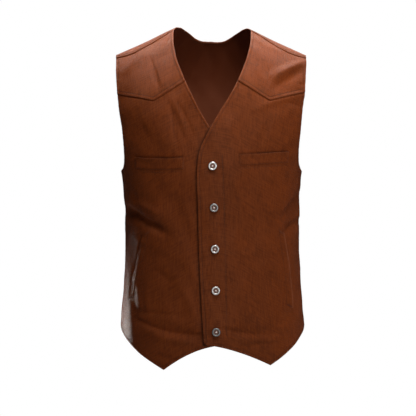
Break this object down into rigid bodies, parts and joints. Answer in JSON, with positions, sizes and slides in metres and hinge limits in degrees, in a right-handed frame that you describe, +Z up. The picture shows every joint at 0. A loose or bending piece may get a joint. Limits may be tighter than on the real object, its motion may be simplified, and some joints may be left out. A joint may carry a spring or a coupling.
{
  "type": "concealed carry vest",
  "caption": "Sleeveless canvas vest in its worn, hollow shape: V neck, pointed yokes and hem, welt pockets and a lapped, buttoned front, open at neck, armholes and hem.",
  "frame": {"origin": "midway between the shoulders at the height of their middle, where the wearer's shoulders carry the vest", "axes": "+Z up, -Y the way the wearer faces, +X towards the wearer's left"},
  "size_m": [0.3942, 0.2578, 0.7022],
  "materials": {
    "canvas": "washed cotton canvas, matt",
    "welt_canvas": "washed cotton canvas, matt",
    "nickel": "antiqued nickel",
    "copper": "dulled copper"
  },
  "bodies": {
    "root": {"front_right": "canvas", "front_left": "canvas", "yoke_right": "canvas", "yoke_left": "canvas", "back": "canvas", "chest_welt_right": "welt_canvas", "chest_welt_left": "welt_canvas", "hand_welt_right": "welt_canvas", "hand_welt_left": "welt_canvas", "button_1": "nickel", "button_2": "nickel", "button_3": "nickel", "button_4": "nickel", "button_5": "nickel", "button_stud_1": "copper", "button_stud_2": "copper", "button_stud_3": "copper", "button_stud_4": "copper", "button_stud_5": "copper"}
  },
  "joints": []
}
